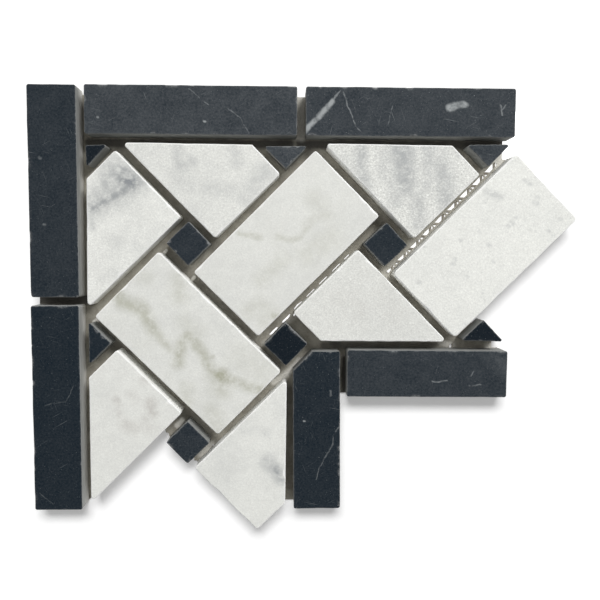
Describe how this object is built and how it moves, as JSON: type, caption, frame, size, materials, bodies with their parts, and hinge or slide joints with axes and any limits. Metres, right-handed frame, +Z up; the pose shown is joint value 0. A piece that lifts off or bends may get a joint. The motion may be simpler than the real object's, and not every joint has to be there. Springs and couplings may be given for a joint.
{
  "type": "marble basketweave mosaic border corner",
  "caption": "L-shaped corner sheet of a basketweave mosaic border: white marble bricks and black dots between black strips, held by a glass-fibre net on the back.",
  "frame": {"origin": "under the middle of the sheet's outline, on the surface it lies on", "axes": "+Z up out of the stones' faces, +X along the longer leg, +Y towards the outer strips of that leg"},
  "size_m": [0.2088, 0.1708, 0.01],
  "materials": {
    "white_marble": "honed white marble with soft grey veins",
    "black_marble": "honed black marble with thin white veins",
    "glass_fibre_net": "coated glass-fibre yarn",
    "adhesive": "dried brown adhesive"
  },
  "bodies": {
    "root": {"brick_corner_left": "white_marble", "brick_corner_top": "white_marble", "brick_upper_middle": "white_marble", "brick_top_right": "white_marble", "brick_right_end": "white_marble", "brick_lower_middle": "white_marble", "brick_left_lower": "white_marble", "brick_bottom_end": "white_marble", "brick_inner_right": "white_marble", "dot_corner": "black_marble", "dot_right": "black_marble", "dot_inner_corner": "black_marble", "dot_lower": "black_marble", "quarter_dot_corner": "black_marble", "half_dot_top_middle": "black_marble", "half_dot_top_right": "black_marble", "half_dot_left": "black_marble", "half_dot_inner_right": "black_marble", "strip_outer_left_upper": "black_marble", "strip_outer_left_lower": "black_marble", "strip_outer_top_left": "black_marble", "strip_outer_top_right": "black_marble", "strip_inner_vertical": "black_marble", "strip_inner_horizontal": "black_marble", "net_lengthwise_strands": "glass_fibre_net", "net_crosswise_strands": "glass_fibre_net", "adhesive_film": "adhesive"}
  },
  "joints": []
}
